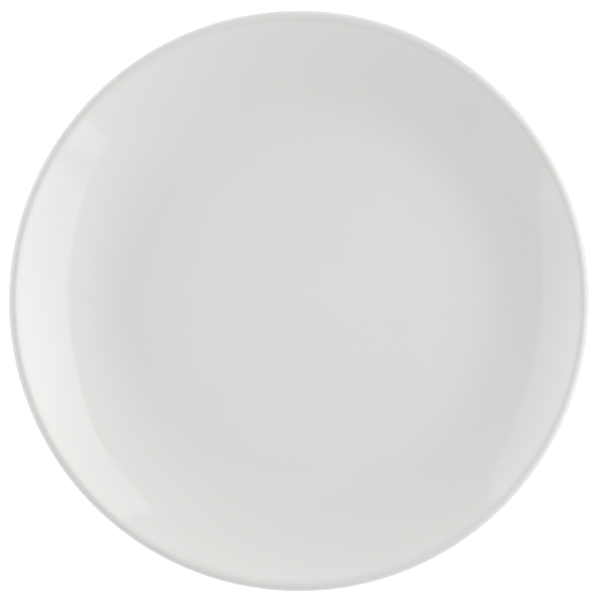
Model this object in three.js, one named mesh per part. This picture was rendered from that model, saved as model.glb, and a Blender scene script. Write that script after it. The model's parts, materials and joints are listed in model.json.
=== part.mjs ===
// A round coupe dessert plate of glazed porcelain: a flat well whose edge curves up into a wall that sweeps on to
// a rounded lip, standing on a foot ring that is formed in one with the body.
// Millimetres, +Z up. The origin is the middle of the plane that the foot ring stands on.
import * as THREE from "three";

// Driving dimensions of the finished, glazed plate.
const PLATE_DIAMETER = 200;
const PLATE_HEIGHT = 22;
const WELL_DIAMETER = 119; // the flat middle of the eating face
const WELL_CURVE_WIDTH = 16; // ring in which the flat turns up into the wall
const BASE_THICKNESS = 4.6; // from the well down to the underside, glaze included
const LIP_THICKNESS = 3.8; // the lip is a full round of this thickness
const FOOT_DIAMETER = 112; // centre line of the face that the ring stands on
const FOOT_WIDTH = 4.2; // across the bare ring
const FOOT_HEIGHT = 3; // from the standing face up to the glazed underside
const FOOT_EDGE_RADIUS = 0.7; // rounding beside the standing face
const FOOT_FILLET_RADIUS = 1; // between the ring's sides and the underside
const GLAZE_THICKNESS = 0.3;
const BARE_SIDE_HEIGHT = 0.3; // side of the ring left bare above its rounded edge

// Steps in which the round forms are drawn.
const STEPS_AROUND = 64;
const CURVE_STEPS = 4;
const WALL_STEPS = 4;
const LIP_INNER_STEPS = 2;
const LIP_QUARTER_STEPS = 4;
const LIP_UNDER_STEPS = 3;
const FILLET_STEPS = 3;
const FOOT_EDGE_STEPS = 2;

// Levels and radii that follow from the driving dimensions.
const undersideLevel = FOOT_HEIGHT;
const wellLevel = undersideLevel + BASE_THICKNESS;
const wellRadius = WELL_DIAMETER / 2;
const lipRadius = LIP_THICKNESS / 2;
const lipCentre = new THREE.Vector2(PLATE_DIAMETER / 2 - lipRadius, PLATE_HEIGHT - lipRadius);
const footInnerRadius = (FOOT_DIAMETER - FOOT_WIDTH) / 2;
const footOuterRadius = (FOOT_DIAMETER + FOOT_WIDTH) / 2;
const glazeLine = FOOT_EDGE_RADIUS + BARE_SIDE_HEIGHT;
const filletRoom = FOOT_HEIGHT - glazeLine - GLAZE_THICKNESS;
const filletRadius = Math.min(FOOT_FILLET_RADIUS, filletRoom);

const QUARTER_TURN = Math.PI / 2;
const ABOVE = 1;
const BELOW = -1;

const eatingSide = wallSide(wellLevel, ABOVE);
const underSide = wallSide(undersideLevel, BELOW);

// One side of the wall as two arcs, whose slopes at their ends are angles. The curve leaves the flat, tangent to it,
// and turns up to the slope of the straight line from the flat's edge to the lip. The wall runs on from the curve,
// tangent to it, and ends tangent to the lip's round, on its upper or its lower side.
function wallSide(flatLevel, side) {
  const reach = lipCentre.x - wellRadius;
  const rise = lipCentre.y + side * lipRadius - flatLevel;
  const curveEnd = Math.atan2(rise, reach);
  const curveRadius = WELL_CURVE_WIDTH / Math.sin(curveEnd);
  const curveCentre = new THREE.Vector2(wellRadius, flatLevel + curveRadius);
  const towardCentres = new THREE.Vector2(-Math.sin(curveEnd), Math.cos(curveEnd));
  const join = curveCentre.clone().addScaledVector(towardCentres, -curveRadius);
  const toLip = lipCentre.clone().sub(join);
  const wallRadius = (toLip.lengthSq() - lipRadius ** 2) / (2 * (toLip.dot(towardCentres) + side * lipRadius));
  const wallCentre = join.clone().addScaledVector(towardCentres, wallRadius);
  const wallEnd = Math.atan2(lipCentre.x - wallCentre.x, wallCentre.y - lipCentre.y);
  return { curveEnd, curveRadius, curveCentre, wallEnd, wallRadius, wallCentre };
}

function arc(centre, radius, from, to, steps) {
  const clockwise = to < from;
  return new THREE.EllipseCurve(centre.x, centre.y, radius, radius, from, to, clockwise).getPoints(steps);
}

// An arc below its centre, from one slope to another.
function bowl(centre, radius, fromSlope, toSlope, steps) {
  return arc(centre, radius, fromSlope - QUARTER_TURN, toSlope - QUARTER_TURN, steps);
}

// A rounded inside corner, as a curve that is tangent to both of its sides.
function fillet(start, corner, end) {
  return new THREE.QuadraticBezierCurve(start, corner, end).getPoints(FILLET_STEPS);
}

// Stretches end to end as one outline, in which no point is repeated.
function joined(...stretches) {
  const closest = 1e-6;
  return stretches.flat().filter((point, i, all) => i === 0 || point.distanceTo(all[i - 1]) > closest);
}

// The two outlines below lie a depth under the finished surface: none for the glaze's own surface,
// and the glaze's thickness for the porcelain that it covers.

// From the axis over the eating face, round the lip and along the underside to the foot ring's outer side.
function faceOutline(depth) {
  const ringSide = footOuterRadius + GLAZE_THICKNESS - depth;
  const filletEnd = ringSide + filletRadius;
  const underRadius = underSide.curveRadius - depth;
  const slopeUnder = (radius) => Math.asin(Math.max(0, radius - wellRadius) / underRadius);
  const levelUnder = (radius) => underSide.curveCentre.y - underRadius * Math.cos(slopeUnder(radius));
  const cornerLevel = levelUnder(ringSide);
  const lipRound = lipRadius - depth;
  return joined(
    [new THREE.Vector2(0, wellLevel - depth)],
    bowl(eatingSide.curveCentre, eatingSide.curveRadius + depth, 0, eatingSide.curveEnd, CURVE_STEPS),
    bowl(eatingSide.wallCentre, eatingSide.wallRadius + depth, eatingSide.curveEnd, eatingSide.wallEnd, WALL_STEPS),
    arc(lipCentre, lipRound, eatingSide.wallEnd + QUARTER_TURN, QUARTER_TURN, LIP_INNER_STEPS),
    arc(lipCentre, lipRound, QUARTER_TURN, 0, LIP_QUARTER_STEPS),
    arc(lipCentre, lipRound, 0, underSide.wallEnd - QUARTER_TURN, LIP_UNDER_STEPS),
    bowl(underSide.wallCentre, underSide.wallRadius - depth, underSide.wallEnd, underSide.curveEnd, WALL_STEPS),
    bowl(underSide.curveCentre, underRadius, underSide.curveEnd, slopeUnder(filletEnd), CURVE_STEPS),
    fillet(
      new THREE.Vector2(filletEnd, levelUnder(filletEnd)),
      new THREE.Vector2(ringSide, cornerLevel),
      new THREE.Vector2(ringSide, cornerLevel - filletRadius),
    ),
    [new THREE.Vector2(ringSide, glazeLine + GLAZE_THICKNESS - depth)],
  );
}

// From the axis along the base inside the foot ring to the ring's inner side.
function baseOutline(depth) {
  const ringSide = footInnerRadius - GLAZE_THICKNESS + depth;
  const level = undersideLevel + depth;
  return joined(
    [new THREE.Vector2(0, level)],
    fillet(
      new THREE.Vector2(ringSide - filletRadius, level),
      new THREE.Vector2(ringSide, level),
      new THREE.Vector2(ringSide, level - filletRadius),
    ),
    [new THREE.Vector2(ringSide, glazeLine + GLAZE_THICKNESS - depth)],
  );
}

// The foot ring's bare end, from its inner side round the standing face to its outer side.
function standingOutline() {
  const innerEdge = new THREE.Vector2(footInnerRadius + FOOT_EDGE_RADIUS, FOOT_EDGE_RADIUS);
  const outerEdge = new THREE.Vector2(footOuterRadius - FOOT_EDGE_RADIUS, FOOT_EDGE_RADIUS);
  return joined(
    arc(innerEdge, FOOT_EDGE_RADIUS, 2 * QUARTER_TURN, 3 * QUARTER_TURN, FOOT_EDGE_STEPS),
    arc(outerEdge, FOOT_EDGE_RADIUS, -QUARTER_TURN, 0, FOOT_EDGE_STEPS),
  );
}

// A solid of revolution about Z from an outline of radius and height.
function turned(name, outline, material) {
  const geometry = new THREE.LatheGeometry(outline, STEPS_AROUND).rotateX(QUARTER_TURN);
  const mesh = new THREE.Mesh(geometry, material);
  mesh.name = name;
  return mesh;
}

function porcelainBody() {
  const bisque = new THREE.MeshStandardMaterial({ color: "#e6e2d9", roughness: 0.75, metalness: 0 });
  const outline = joined(
    baseOutline(GLAZE_THICKNESS),
    standingOutline(),
    faceOutline(GLAZE_THICKNESS).reverse(),
  );
  return turned("porcelain_body", outline, bisque);
}

// One coat over the eating face, the lip and the outside, down to the foot ring.
function faceGlaze() {
  const glaze = new THREE.MeshStandardMaterial({ color: "#f2f2ef", roughness: 0.06, metalness: 0 });
  const outline = joined(
    faceOutline(GLAZE_THICKNESS),
    faceOutline(0).reverse(),
  );
  return turned("face_glaze", outline, glaze);
}

// A second coat under the base, parted from the first by the bare foot ring.
function baseGlaze() {
  const glaze = new THREE.MeshStandardMaterial({ color: "#f2f2ef", roughness: 0.1, metalness: 0 });
  const outline = joined(
    baseOutline(0),
    baseOutline(GLAZE_THICKNESS).reverse(),
  );
  return turned("base_glaze", outline, glaze);
}

const plate = new THREE.Group();
plate.add(porcelainBody(), faceGlaze(), baseGlaze());

export default plate;
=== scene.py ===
"""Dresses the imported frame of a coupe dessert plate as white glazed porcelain.

The camera looks straight down on it, as in the photograph.
"""
import json
import math
from collections import namedtuple

import bpy
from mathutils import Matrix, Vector, noise


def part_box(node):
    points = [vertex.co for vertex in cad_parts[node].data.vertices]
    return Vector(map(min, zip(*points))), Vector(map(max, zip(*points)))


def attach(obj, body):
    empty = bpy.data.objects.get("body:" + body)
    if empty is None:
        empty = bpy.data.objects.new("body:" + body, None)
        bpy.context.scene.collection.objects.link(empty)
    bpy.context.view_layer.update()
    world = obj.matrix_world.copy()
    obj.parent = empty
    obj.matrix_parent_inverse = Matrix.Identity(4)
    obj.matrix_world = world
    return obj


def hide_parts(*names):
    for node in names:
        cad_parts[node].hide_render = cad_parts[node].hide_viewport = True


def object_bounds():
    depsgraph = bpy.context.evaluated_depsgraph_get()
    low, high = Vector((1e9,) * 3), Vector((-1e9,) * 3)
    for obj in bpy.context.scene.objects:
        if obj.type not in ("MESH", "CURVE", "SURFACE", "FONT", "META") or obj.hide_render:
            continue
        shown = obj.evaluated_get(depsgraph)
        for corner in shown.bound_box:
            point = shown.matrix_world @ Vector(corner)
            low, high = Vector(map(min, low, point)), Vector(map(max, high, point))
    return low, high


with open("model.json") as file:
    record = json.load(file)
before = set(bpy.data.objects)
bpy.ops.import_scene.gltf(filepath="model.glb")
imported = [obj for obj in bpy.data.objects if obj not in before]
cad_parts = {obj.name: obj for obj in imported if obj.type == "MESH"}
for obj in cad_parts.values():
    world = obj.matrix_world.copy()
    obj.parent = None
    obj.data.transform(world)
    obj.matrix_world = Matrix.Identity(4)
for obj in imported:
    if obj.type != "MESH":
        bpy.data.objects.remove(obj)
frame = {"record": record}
cad_low, cad_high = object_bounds()

# Sizes in metres, from the frame.
body_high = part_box("porcelain_body")[1]
base_low, base_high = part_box("base_glaze")
mounts = {mount["name"]: mount for mount in frame["record"]["mounts"]}
PLATE_RADIUS = cad_high.x
PLATE_HEIGHT = cad_high.z
WELL_LEVEL = mounts["well"]["pos_m"][2]
GLAZE = cad_high.z - body_high.z
UNDERSIDE_LEVEL = base_high.z - GLAZE
GLAZE_LINE = base_low.z
FOOT_INNER_RADIUS = base_high.x

# Sizes in metres that the frame's boxes don't give.
WELL_RADIUS = 0.0595
WELL_CURVE_WIDTH = 0.016
LIP_RADIUS = 0.0019
FOOT_WIDTH = 0.0042
FOOT_EDGE_RADIUS = 0.0007
FILLET_RADIUS = 0.001
FOOT_OUTER_RADIUS = FOOT_INNER_RADIUS + FOOT_WIDTH
LIP_CENTRE_RADIUS = PLATE_RADIUS - LIP_RADIUS
LIP_CENTRE_LEVEL = PLATE_HEIGHT - LIP_RADIUS

# The fired glaze is not quite even: its surface rises and falls in long, low waves.
WAVE_LENGTH = 0.034
WAVE_HEIGHT = 0.000012

# Steps in which the round forms are drawn.
STEPS_AROUND = 256
FLAT_STEPS = 12
CURVE_STEPS = 20
WALL_STEPS = 24
LIP_QUARTER_STEPS = 10
FILLET_STEPS = 8
EDGE_STEPS = 6
BEAD_STEPS = 5

# Points nearer to each other than this are one point.
SAME_POINT = 1e-7

QUARTER_TURN = math.pi / 2
UPPER = 1
LOWER = -1


# Outlines: lists of (radius, height).

Bend = namedtuple("Bend", "centre radius first_slope last_slope")


def wall_side(flat_level, side):
    """One side of the wall, as two tangent arcs.

    The first arc leaves the flat and turns up to the slope of the line from the flat's edge
    to the lip. The second runs on from it into the lip's round.
    """
    reach = LIP_CENTRE_RADIUS - WELL_RADIUS
    rise = LIP_CENTRE_LEVEL + side * LIP_RADIUS - flat_level
    slope = math.atan2(rise, reach)
    curve_radius = WELL_CURVE_WIDTH / math.sin(slope)
    join_radius = WELL_RADIUS + WELL_CURVE_WIDTH
    join_level = flat_level + curve_radius * (1 - math.cos(slope))
    across = LIP_CENTRE_RADIUS - join_radius
    up = LIP_CENTRE_LEVEL - join_level
    clear = up * math.cos(slope) - across * math.sin(slope) + side * LIP_RADIUS
    wall_radius = (across ** 2 + up ** 2 - LIP_RADIUS ** 2) / (2 * clear)
    centre_radius = join_radius - wall_radius * math.sin(slope)
    centre_level = join_level + wall_radius * math.cos(slope)
    lip_slope = math.atan2(LIP_CENTRE_RADIUS - centre_radius, centre_level - LIP_CENTRE_LEVEL)
    curve = Bend((WELL_RADIUS, flat_level + curve_radius), curve_radius, 0.0, slope)
    wall = Bend((centre_radius, centre_level), wall_radius, slope, lip_slope)
    return curve, wall


def arc(centre, radius, start, end, steps):
    """Points on an arc, from one angle to another."""
    angles = [start + (end - start) * i / steps for i in range(steps + 1)]
    return [(centre[0] + radius * math.cos(a), centre[1] + radius * math.sin(a)) for a in angles]


def bowl(centre, radius, first_slope, last_slope, steps):
    """An arc below its centre, from one slope to another."""
    return arc(centre, radius, first_slope - QUARTER_TURN, last_slope - QUARTER_TURN, steps)


def straight(start, end, steps):
    """Points on a straight line."""
    shares = [i / steps for i in range(steps + 1)]
    return [tuple(a + (b - a) * t for a, b in zip(start, end)) for t in shares]


def fillet(start, corner, end):
    """A curve that is tangent to both sides of an inside corner."""
    points = []
    for i in range(FILLET_STEPS + 1):
        t = i / FILLET_STEPS
        weights = ((1 - t) ** 2, 2 * t * (1 - t), t ** 2)
        radius = sum(w * p[0] for w, p in zip(weights, (start, corner, end)))
        level = sum(w * p[1] for w, p in zip(weights, (start, corner, end)))
        points.append((radius, level))
    return points


def joined(*stretches):
    """Stretches end to end, in which no point is repeated."""
    outline = []
    for point in (p for stretch in stretches for p in stretch):
        if not outline or math.dist(point, outline[-1]) > SAME_POINT:
            outline.append(point)
    return outline


def face_outline(depth):
    """The face coat's outline at a depth under its surface.

    It goes from the axis over the eating face, the lip and the outside wall to the foot ring.
    """
    curve, wall = wall_side(WELL_LEVEL, UPPER)
    under_curve, under_wall = wall_side(UNDERSIDE_LEVEL, LOWER)
    under_radius = under_curve.radius - depth
    ring_side = FOOT_OUTER_RADIUS + GLAZE - depth
    fillet_end = ring_side + FILLET_RADIUS
    lip_centre = (LIP_CENTRE_RADIUS, LIP_CENTRE_LEVEL)
    lip_round = LIP_RADIUS - depth
    lip_start = wall.last_slope + QUARTER_TURN
    lip_end = under_wall.last_slope - QUARTER_TURN

    def slope_under(radius):
        return math.asin(max(0.0, radius - WELL_RADIUS) / under_radius)

    def level_under(radius):
        return under_curve.centre[1] - under_radius * math.cos(slope_under(radius))

    corner_level = level_under(ring_side)
    return joined(
        straight((0.0, WELL_LEVEL - depth), (WELL_RADIUS, WELL_LEVEL - depth), FLAT_STEPS),
        bowl(curve.centre, curve.radius + depth, curve.first_slope, curve.last_slope, CURVE_STEPS),
        bowl(wall.centre, wall.radius + depth, wall.first_slope, wall.last_slope, WALL_STEPS),
        arc(lip_centre, lip_round, lip_start, QUARTER_TURN, LIP_QUARTER_STEPS),
        arc(lip_centre, lip_round, QUARTER_TURN, 0.0, LIP_QUARTER_STEPS),
        arc(lip_centre, lip_round, 0.0, lip_end, LIP_QUARTER_STEPS),
        bowl(
            under_wall.centre,
            under_wall.radius - depth,
            under_wall.last_slope,
            under_wall.first_slope,
            WALL_STEPS,
        ),
        bowl(
            under_curve.centre,
            under_radius,
            under_curve.last_slope,
            slope_under(fillet_end),
            CURVE_STEPS,
        ),
        fillet(
            (fillet_end, level_under(fillet_end)),
            (ring_side, corner_level),
            (ring_side, corner_level - FILLET_RADIUS),
        ),
        [(ring_side, GLAZE_LINE + GLAZE - depth)],
    )


def base_outline(depth):
    """The base coat's outline at a depth under its surface.

    It goes from the axis along the base to the foot ring's inner side.
    """
    ring_side = FOOT_INNER_RADIUS - GLAZE + depth
    level = UNDERSIDE_LEVEL + depth
    fillet_start = (ring_side - FILLET_RADIUS, level)
    return joined(
        straight((0.0, level), fillet_start, FLAT_STEPS),
        fillet(fillet_start, (ring_side, level), (ring_side, level - FILLET_RADIUS)),
        [(ring_side, GLAZE_LINE + GLAZE - depth)],
    )


def standing_outline():
    """The foot ring's bare end, from its inner side to its outer side."""
    inner = (FOOT_INNER_RADIUS + FOOT_EDGE_RADIUS, FOOT_EDGE_RADIUS)
    outer = (FOOT_OUTER_RADIUS - FOOT_EDGE_RADIUS, FOOT_EDGE_RADIUS)
    return joined(
        arc(inner, FOOT_EDGE_RADIUS, 2 * QUARTER_TURN, 3 * QUARTER_TURN, EDGE_STEPS),
        arc(outer, FOOT_EDGE_RADIUS, -QUARTER_TURN, 0.0, EDGE_STEPS),
    )


def bead(ring_side, start, end):
    """The rounded end of a glaze coat on a side of the foot ring, from one angle to another."""
    return arc((ring_side, GLAZE_LINE + GLAZE), GLAZE, start, end, BEAD_STEPS)


# Meshes.

def wave(x, y, z):
    """The height of the glaze's waves at a place, from -1 to 1."""
    return noise.noise(Vector((x, y, z)) / WAVE_LENGTH)


def turned(name, material, *sides):
    """A smooth closed solid of revolution about Z.

    Each side is an outline and the height of the waves on it. The first outline starts on
    the axis, and the last one ends there.
    """
    points = [(point, height) for outline, height in sides for point in outline]
    rings = points[:1]
    for before, after in zip(points, points[1:]):
        if math.dist(before[0], after[0]) > SAME_POINT:
            rings.append(after)
    vertices = []
    for (radius, level), height in rings[1:-1]:
        for i in range(STEPS_AROUND):
            turn = 2 * math.pi * i / STEPS_AROUND
            x = radius * math.cos(turn)
            y = radius * math.sin(turn)
            vertices.append((x, y, level + height * wave(x, y, level)))
    first = len(vertices)
    last = first + 1
    for (_, level), height in (rings[0], rings[-1]):
        vertices.append((0.0, 0.0, level + height * wave(0.0, 0.0, level)))

    def at(ring, i):
        return ring * STEPS_AROUND + i % STEPS_AROUND

    end = len(rings) - 3
    faces = []
    for i in range(STEPS_AROUND):
        faces.append((first, at(0, i + 1), at(0, i)))
        for ring in range(end):
            faces.append((at(ring, i), at(ring, i + 1), at(ring + 1, i + 1), at(ring + 1, i)))
        faces.append((at(end, i), at(end, i + 1), last))
    mesh = bpy.data.meshes.new(name)
    mesh.from_pydata(vertices, [], faces)
    mesh.polygons.foreach_set("use_smooth", [True] * len(mesh.polygons))
    mesh.materials.append(material)
    mesh.update()
    piece = bpy.data.objects.new(name, mesh)
    bpy.context.scene.collection.objects.link(piece)
    return piece


# Shader nodes. Values are numbers, vectors or other nodes' outputs.

WHITE = (1, 1, 1, 1)


def put(tree, socket, value):
    """Links an output to a socket, or sets the socket to a value."""
    if isinstance(value, bpy.types.NodeSocket):
        tree.links.new(value, socket)
    else:
        socket.default_value = value


def number(tree, operation, *values):
    """The output of a math node."""
    node = tree.nodes.new("ShaderNodeMath")
    node.operation = operation
    for socket, value in zip(node.inputs, values):
        put(tree, socket, value)
    return node.outputs[0]


def vector(tree, operation, *values):
    """The output of a vector math node."""
    node = tree.nodes.new("ShaderNodeVectorMath")
    node.operation = operation
    for socket, value in zip(node.inputs, values):
        put(tree, socket, value)
    return node.outputs["Value" if operation in ("LENGTH", "DOT_PRODUCT") else "Vector"]


def smooth_step(tree, value, places, levels):
    """A smooth step from one level to another between two places of a value."""
    node = tree.nodes.new("ShaderNodeMapRange")
    node.interpolation_type = "SMOOTHSTEP"
    node.inputs["From Min"].default_value = places[0]
    node.inputs["From Max"].default_value = places[1]
    node.inputs["To Min"].default_value = levels[0]
    node.inputs["To Max"].default_value = levels[1]
    tree.links.new(value, node.inputs["Value"])
    return node.outputs["Result"]


def split(tree, place):
    """The three outputs of a place: X, Y and Z."""
    node = tree.nodes.new("ShaderNodeSeparateXYZ")
    tree.links.new(place, node.inputs[0])
    return node.outputs


def combined(tree, x, y):
    """A vector of two values and a third of 0."""
    node = tree.nodes.new("ShaderNodeCombineXYZ")
    put(tree, node.inputs["X"], x)
    put(tree, node.inputs["Y"], y)
    return node.outputs[0]


def cloud(tree, place, size, detail):
    """Noise from 0 to 1 with features of about a size in metres."""
    node = tree.nodes.new("ShaderNodeTexNoise")
    node.inputs["Scale"].default_value = 1 / size
    node.inputs["Detail"].default_value = detail
    tree.links.new(place, node.inputs["Vector"])
    return node.outputs["Fac"]


def bands(tree, place, size, detail):
    """Noise from 0 to 1 along one number, with features of about a size in metres."""
    node = tree.nodes.new("ShaderNodeTexNoise")
    node.noise_dimensions = "1D"
    node.inputs["Scale"].default_value = 1 / size
    node.inputs["Detail"].default_value = detail
    tree.links.new(place, node.inputs["W"])
    return node.outputs["Fac"]


def colours(tree, value, stops):
    """A colour that goes by a value, from stops of a value and a colour."""
    node = tree.nodes.new("ShaderNodeValToRGB")
    elements = node.color_ramp.elements
    while len(elements) < len(stops):
        elements.new(1.0)
    for element, (position, colour) in zip(elements, stops):
        element.position = position
        element.color = (*colour, 1)
    tree.links.new(value, node.inputs["Fac"])
    return node.outputs["Color"]


def relief(tree, height, depth):
    """A normal for fine relief of a depth in metres."""
    node = tree.nodes.new("ShaderNodeBump")
    node.inputs["Distance"].default_value = depth
    tree.links.new(height, node.inputs["Height"])
    return node.outputs["Normal"]


def new_material(name):
    """A new material, its nodes and its shader."""
    material = bpy.data.materials.new(name)
    material.use_nodes = True
    return material, material.node_tree, material.node_tree.nodes["Principled BSDF"]


def object_place(tree):
    """The place on the object, in metres."""
    return tree.nodes.new("ShaderNodeTexCoord").outputs["Object"]


# Materials. Sizes, places and depths are in metres. How thick the glaze is, with the lip's painted
# shade added, and the bisque's tone are places among their colours. Noise lies mostly between the
# two ends of NOISE_SPAN.

NOISE_SPAN = (0.3, 0.7)

GLAZE_IOR = 1.5
GLAZE_EVEN = 0.45
GLAZE_CLOUDS = 0.2
GLAZE_CLOUD_SIZE = 0.024
GLAZE_CLOUD_DETAIL = 4.0
POOL_REACH = (0.0004, 0.0034)
POOL_GAIN = (0.5, 0.0)
# The lip's darkening is partly glaze that thins over the lip and partly painted shade along its
# round.
THIN_AND_SHADED_FROM_EDGE = 0.0048
THINNEST_AND_DARKEST_FROM_EDGE = 0.0028
LIP_THIN_AND_SHADED_REACH = (PLATE_RADIUS - THIN_AND_SHADED_FROM_EDGE, PLATE_RADIUS - THINNEST_AND_DARKEST_FROM_EDGE)
LIP_THINNING_AND_PAINTED_SHADE = (0.0, -0.45)
GLAZE_COLOURS = (
    (0.1, (0.773, 0.773, 0.756)),
    (0.5, (0.814, 0.814, 0.796)),
    (0.7, (0.803, 0.804, 0.788)),
    (1.0, (0.73, 0.755, 0.755)),
)
POLISH_SIZE = 0.007
POLISH_DETAIL = 3.0
POLISH_ROUGHNESS = (0.025, 0.045)
DIMPLE_SIZE = 0.0024
DIMPLE_DETAIL = 2.0
DIMPLE_DEPTH = 0.0000025

MARK_WIDTH = 0.00035
MARK_DETAIL = 2.0
GRAIN_SIZE = 0.0005
GRAIN_DETAIL = 3.0
GRAIN_TONE = 0.4
GRAIN_ROUGHNESS = (0.75, 0.88)
PATCH_SIZE = 0.009
PATCH_DETAIL = 3.0
PATCH_TONE = 0.5
RUBBED_REACH = (0.00005, 0.0004)
RUBBED_SHARE = (1.0, 0.0)
RUBBED_TONE = 0.2
RUBBED_ROUGHNESS = -0.25
BISQUE_COLOURS = (
    (0.2, (0.77, 0.755, 0.715)),
    (0.5, (0.735, 0.715, 0.67)),
    (0.9, (0.66, 0.635, 0.585)),
)
BISQUE_DEPTH = 0.00002


def glaze_material():
    """Clear gloss glaze over white porcelain.

    Its coat is thicker and thinner in soft clouds. It pools in the corners of the foot ring, where
    it is cooler and darker. Over the lip its colour is darker: partly for glaze thinning there,
    partly as painted shade along the lip's round.
    """
    material, tree, shader = new_material("white_glaze")
    place = object_place(tree)
    x, y, z = split(tree, place)
    radius = vector(tree, "LENGTH", combined(tree, x, y))
    ring_middle = FOOT_INNER_RADIUS + FOOT_WIDTH / 2
    off_ring = number(tree, "ABSOLUTE", number(tree, "SUBTRACT", radius, ring_middle))
    off_side = number(tree, "SUBTRACT", off_ring, FOOT_WIDTH / 2 + GLAZE)
    off_underside = number(tree, "SUBTRACT", z, UNDERSIDE_LEVEL)
    off_corner = vector(tree, "LENGTH", combined(tree, off_side, off_underside))
    pool = smooth_step(tree, off_corner, POOL_REACH, POOL_GAIN)
    # Painted shade: the colour darkens towards the lip's edge, partly for glaze thinning there.
    lip_thinning_and_painted_shade = smooth_step(tree, radius, LIP_THIN_AND_SHADED_REACH, LIP_THINNING_AND_PAINTED_SHADE)
    clouds = cloud(tree, place, GLAZE_CLOUD_SIZE, GLAZE_CLOUD_DETAIL)
    coat = number(tree, "MULTIPLY_ADD", clouds, GLAZE_CLOUDS, GLAZE_EVEN)
    coat_and_lip_shade = number(tree, "ADD", number(tree, "ADD", coat, pool), lip_thinning_and_painted_shade)
    tree.links.new(colours(tree, coat_and_lip_shade, GLAZE_COLOURS), shader.inputs["Base Color"])
    polish = cloud(tree, place, POLISH_SIZE, POLISH_DETAIL)
    roughness = smooth_step(tree, polish, NOISE_SPAN, POLISH_ROUGHNESS)
    tree.links.new(roughness, shader.inputs["Roughness"])
    dimples = cloud(tree, place, DIMPLE_SIZE, DIMPLE_DETAIL)
    tree.links.new(relief(tree, dimples, DIMPLE_DEPTH), shader.inputs["Normal"])
    shader.inputs["IOR"].default_value = GLAZE_IOR
    return material


def bisque_material():
    """Bare fired porcelain: finely grained, and rubbed smooth in rings where the plate stands."""
    material, tree, shader = new_material("bare_porcelain")
    place = object_place(tree)
    x, y, z = split(tree, place)
    radius = vector(tree, "LENGTH", combined(tree, x, y))
    marks = bands(tree, radius, MARK_WIDTH, MARK_DETAIL)
    grain = cloud(tree, place, GRAIN_SIZE, GRAIN_DETAIL)
    patches = cloud(tree, place, PATCH_SIZE, PATCH_DETAIL)
    rubbed = smooth_step(tree, z, RUBBED_REACH, RUBBED_SHARE)
    patch_tone = number(tree, "MULTIPLY", patches, PATCH_TONE)
    tone = number(tree, "MULTIPLY_ADD", grain, GRAIN_TONE, patch_tone)
    tone = number(tree, "MULTIPLY_ADD", rubbed, RUBBED_TONE, tone)
    tree.links.new(colours(tree, tone, BISQUE_COLOURS), shader.inputs["Base Color"])
    grain_roughness = smooth_step(tree, grain, NOISE_SPAN, GRAIN_ROUGHNESS)
    roughness = number(tree, "MULTIPLY_ADD", rubbed, RUBBED_ROUGHNESS, grain_roughness)
    tree.links.new(roughness, shader.inputs["Roughness"])
    height = number(tree, "ADD", grain, number(tree, "MULTIPLY", marks, rubbed))
    tree.links.new(relief(tree, height, BISQUE_DEPTH), shader.inputs["Normal"])
    return material


# The plate.

glaze = glaze_material()
bisque = bisque_material()
outer_bead = bead(FOOT_OUTER_RADIUS, -QUARTER_TURN, 0.0)
inner_bead = bead(FOOT_INNER_RADIUS, 2 * QUARTER_TURN, 3 * QUARTER_TURN)
glazed_face = turned(
    "glazed_face",
    glaze,
    (face_outline(GLAZE), 0.0),
    (outer_bead, 0.0),
    (face_outline(0.0)[::-1], WAVE_HEIGHT),
)
glazed_base = turned(
    "glazed_base",
    glaze,
    (base_outline(0.0), WAVE_HEIGHT),
    (inner_bead, 0.0),
    (base_outline(GLAZE)[::-1], 0.0),
)
bisque_body = turned(
    "bisque_body",
    bisque,
    (base_outline(GLAZE), 0.0),
    (standing_outline(), 0.0),
    (face_outline(GLAZE)[::-1], 0.0),
)
for piece, node, slot in (
    (glazed_face, "face_glaze", "glaze"),
    (glazed_base, "base_glaze", "glaze"),
    (bisque_body, "porcelain_body", "bisque"),
):
    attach(piece, "root")
    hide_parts(node)


# Floor. It glows outside the plate, so that it is white in the picture. Its glow fades out under
# the plate, a painted shadow.

FLOOR_REACH = 8.0
FLOOR_COLOUR = (0.35, 0.35, 0.35, 1)
FLOOR_ROUGHNESS = 0.9
FLOOR_SPECULAR = 0.1
FLOOR_PAINTED_SHADOW_PLACES = (0.06, 0.101)
FLOOR_GLOW_LEVELS = (0.0, 0.77)


def make_floor():
    """A pale floor whose glow fades out under the plate: a painted shadow, with the plate's own
    shadow falling on it.
    """
    mesh = bpy.data.meshes.new("floor")
    corners = [(-FLOOR_REACH, -FLOOR_REACH, 0), (FLOOR_REACH, -FLOOR_REACH, 0)]
    corners += [(FLOOR_REACH, FLOOR_REACH, 0), (-FLOOR_REACH, FLOOR_REACH, 0)]
    mesh.from_pydata(corners, [], [(0, 1, 2, 3)])
    material, tree, shader = new_material("floor")
    shader.inputs["Base Color"].default_value = FLOOR_COLOUR
    shader.inputs["Roughness"].default_value = FLOOR_ROUGHNESS
    shader.inputs["Specular IOR Level"].default_value = FLOOR_SPECULAR
    shader.inputs["Emission Color"].default_value = WHITE
    distance = vector(tree, "LENGTH", object_place(tree))
    # Painted shadow: the glow fades out under the plate's footprint.
    glow = smooth_step(tree, distance, FLOOR_PAINTED_SHADOW_PLACES, FLOOR_GLOW_LEVELS)
    tree.links.new(glow, shader.inputs["Emission Strength"])
    mesh.materials.append(material)
    floor = bpy.data.objects.new("floor", mesh)
    bpy.context.scene.collection.objects.link(floor)


# Room. Its stops are an elevation in degrees and a radiance. The horizon fades between two
# sines of elevation.

ROOM = ((22, 0.917), (35, 0.202), (62, 0.082), (85, 0.445))
ROOM_LEAN = (-0.29, 0.285, 0.0)
GLOW_AZIMUTH = -12
GLOW_ELEVATION = 38
GLOW_RADIANCE = 1.21
GLOW_POWER = 4.0
HORIZON_RADIANCE = 1.05
HORIZON_FADE = (0.08, 0.14)
HORIZON_SHARE = (1.0, 0.0)


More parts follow.
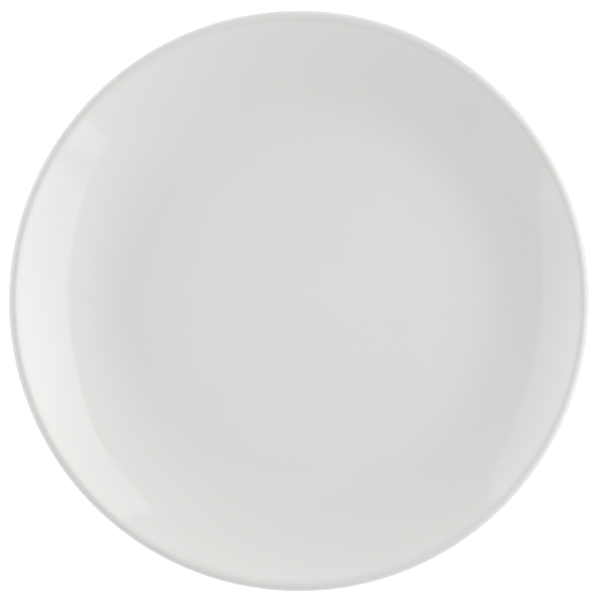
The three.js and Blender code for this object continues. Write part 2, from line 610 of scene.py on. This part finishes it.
def make_world():
    """A room whose light goes by elevation, leans and glows on one side, over a white horizon."""
    world = bpy.data.worlds.new("room")
    bpy.context.scene.world = world
    world.use_nodes = True
    tree = world.node_tree
    direction = tree.nodes.new("ShaderNodeTexCoord").outputs["Generated"]
    up = split(tree, direction)["Z"]
    stops = [(math.sin(math.radians(elevation)), (level,) * 3) for elevation, level in ROOM]
    by_elevation = colours(tree, up, stops)
    lean = number(tree, "ADD", vector(tree, "DOT_PRODUCT", direction, ROOM_LEAN), 1.0)
    turn = math.radians(GLOW_AZIMUTH)
    lift = math.radians(GLOW_ELEVATION)
    glow_axis = (
        math.cos(turn) * math.cos(lift),
        math.sin(turn) * math.cos(lift),
        math.sin(lift),
    )
    toward_glow = number(tree, "MAXIMUM", vector(tree, "DOT_PRODUCT", direction, glow_axis), 0.0)
    glow = number(tree, "POWER", toward_glow, GLOW_POWER)
    glow = number(tree, "MULTIPLY", glow, GLOW_RADIANCE)
    room = number(tree, "MULTIPLY_ADD", by_elevation, lean, glow)
    horizon = smooth_step(tree, up, HORIZON_FADE, HORIZON_SHARE)
    over_room = number(tree, "SUBTRACT", HORIZON_RADIANCE, room)
    whole = number(tree, "MULTIPLY_ADD", over_room, horizon, room)
    background = tree.nodes["Background"]
    background.inputs["Color"].default_value = WHITE
    tree.links.new(whole, background.inputs["Strength"])


# Light panels. The light that carries a panel is wider than its outline by a margin, and the
# outline is soft by a width to either side, which is greater in a haze at the panel's foot. The
# heights of no haze lie under the floor.

PANEL_SOFT = 0.006
PANEL_HAZE = 0.115
PANEL_MARGIN = 0.12
NO_HAZE = (-2.0, -1.0)


def hill(tree, offset, spread):
    """A bell curve of 1 at no offset, over an offset and a spread that are vectors."""
    share = vector(tree, "DIVIDE", offset, spread)
    square = vector(tree, "DOT_PRODUCT", share, share)
    return number(tree, "EXPONENT", number(tree, "MULTIPLY", square, -1.0))


def panel(
    name, azimuth, distance, middle, half, corner, even,
    hot=0.0, hot_place=(0.0, 0.0), hot_spread=(1.0, 1.0),
    bow=0.0, bow_place=0.0, dip=(0.0, 1.0, 0.0), seam=(0.0, 1.0, 0.0), flare=0.0, haze=NO_HAZE,
):
    """An upright light panel at an azimuth and a distance from the plate's axis, facing it.

    Places on it are metres along it and up. Middle, half and the corner's radius give its
    outline, which bends up by bow away from a place and sags at a dip, given by place, width
    and depth. On an even radiance it has a hot spot of a place and a spread, and an upright
    seam, given by place, width and the share of light that is missing there. It widens upward
    by flare on both sides of the seam. Below haze's upper height its outline grows softer,
    down to the lower one.
    """
    turn = math.radians(azimuth)
    out = Vector((math.cos(turn), math.sin(turn), 0))
    along = Vector((-math.sin(turn), math.cos(turn), 0))
    light = bpy.data.lights.new(name, "AREA")
    light.shape = "RECTANGLE"
    light.size = 2 * (half[0] + PANEL_MARGIN)
    light.size_y = 2 * (half[1] + PANEL_MARGIN)
    # With this energy the emission's strength is the radiance.
    light.energy = math.pi * light.size * light.size_y
    light.use_nodes = True
    tree = light.node_tree
    place = tree.nodes.new("ShaderNodeNewGeometry").outputs["Position"]
    up = split(tree, place)["Z"]
    across = vector(tree, "DOT_PRODUCT", place, along)

    from_bow = number(tree, "SUBTRACT", across, bow_place)
    bent = number(tree, "MULTIPLY_ADD", number(tree, "MULTIPLY", from_bow, from_bow), -bow, up)
    dip_place, dip_width, dip_depth = dip
    from_dip = combined(tree, number(tree, "SUBTRACT", across, dip_place), 0.0)
    in_dip = hill(tree, from_dip, (dip_width, 1, 1))
    bent = number(tree, "MULTIPLY_ADD", in_dip, dip_depth, bent)
    seam_place, seam_width, seam_share = seam
    from_seam = number(tree, "SUBTRACT", across, seam_place)
    widening = number(tree, "MULTIPLY", number(tree, "SUBTRACT", up, middle[1]), -flare)
    flared = number(tree, "MULTIPLY_ADD", from_seam, widening, across)
    off_middle = vector(tree, "SUBTRACT", combined(tree, flared, bent), (*middle, 0))
    core = (half[0] - corner, half[1] - corner, 0)
    past_core = vector(tree, "SUBTRACT", vector(tree, "ABSOLUTE", off_middle), core)
    off_core = vector(tree, "LENGTH", vector(tree, "MAXIMUM", past_core, (0, 0, 0)))
    softness = smooth_step(tree, up, haze, (PANEL_HAZE, PANEL_SOFT))
    past_edge = number(tree, "DIVIDE", number(tree, "SUBTRACT", off_core, corner), softness)
    inside = smooth_step(tree, past_edge, (-1.0, 1.0), (1.0, 0.0))

    from_spot = vector(tree, "SUBTRACT", combined(tree, across, up), (*hot_place, 0))
    spot = hill(tree, from_spot, (*hot_spread, 1))
    in_seam = hill(tree, combined(tree, from_seam, 0.0), (seam_width, 1, 1))
    beside_seam = number(tree, "MULTIPLY_ADD", in_seam, -seam_share, 1.0)
    radiance = number(tree, "MULTIPLY_ADD", spot, hot, even)
    radiance = number(tree, "MULTIPLY", radiance, inside)
    radiance = number(tree, "MULTIPLY", radiance, beside_seam)
    tree.links.new(radiance, tree.nodes["Emission"].inputs["Strength"])

    lamp = bpy.data.objects.new(name, light)
    lamp.location = out * distance + along * middle[0] + Vector((0, 0, middle[1]))
    lamp.rotation_euler = out.to_track_quat("Z", "Y").to_euler()
    bpy.context.scene.collection.objects.link(lamp)


# Camera. Lens and sensor are in metres. The plate's centre and radius and the picture's
# middle are in pixels, and the sensor's width spans the picture's height, its longer side.

LENS = 0.1
SENSOR_WIDTH = 0.024
MILLIMETRES_IN_METRE = 1000
PICTURE_HEIGHT = 600
PICTURE_MIDDLE_X = 298.5
PICTURE_MIDDLE_Y = 299.5
PLATE_CENTRE_X = 298.67
PLATE_CENTRE_Y = 300.39
PLATE_PIXELS = 290.25


def make_camera():
    """A camera that looks straight down and puts the plate where it is in the photograph."""
    pixel = PLATE_RADIUS / PLATE_PIXELS
    distance = pixel * PICTURE_HEIGHT * LENS / SENSOR_WIDTH
    camera = bpy.data.cameras.new("camera")
    camera.lens = LENS * MILLIMETRES_IN_METRE
    camera.sensor_width = SENSOR_WIDTH * MILLIMETRES_IN_METRE
    seat = bpy.data.objects.new("camera", camera)
    seat.location = (
        (PICTURE_MIDDLE_X - PLATE_CENTRE_X) * pixel,
        (PLATE_CENTRE_Y - PICTURE_MIDDLE_Y) * pixel,
        LIP_CENTRE_LEVEL + distance,
    )
    bpy.context.scene.collection.objects.link(seat)
    bpy.context.scene.camera = seat


# The stage: a key light at the right, a fill at the left and a faint one beside the fill.

make_floor()
make_world()
panel(
    "key", azimuth=4.1, distance=0.45, middle=(0.019, 0.409), half=(0.454, 0.202), corner=0.012,
    even=1.1, hot=0.96, hot_place=(0.07, 0.379), hot_spread=(0.196, 0.254),
    bow=0.153, bow_place=-0.023, dip=(0.266, 0.102, 0.0337), seam=(-0.329, 0.033, 0.8),
    flare=0.414,
)
panel(
    "fill", azimuth=174.8, distance=0.9, middle=(-0.104, 0.546), half=(0.678, 0.43), corner=0.143,
    even=0.8, hot=1.05, hot_place=(-0.08, 0.596), hot_spread=(0.4, 0.244),
    bow=-0.209, bow_place=-0.215, haze=(0.5, 0.8),
)
panel(
    "side", azimuth=211, distance=0.6, middle=(0.0, 0.52), half=(0.125, 0.16), corner=0.06,
    even=0.18,
)
make_camera()
bpy.context.scene.view_settings.view_transform = "Standard"
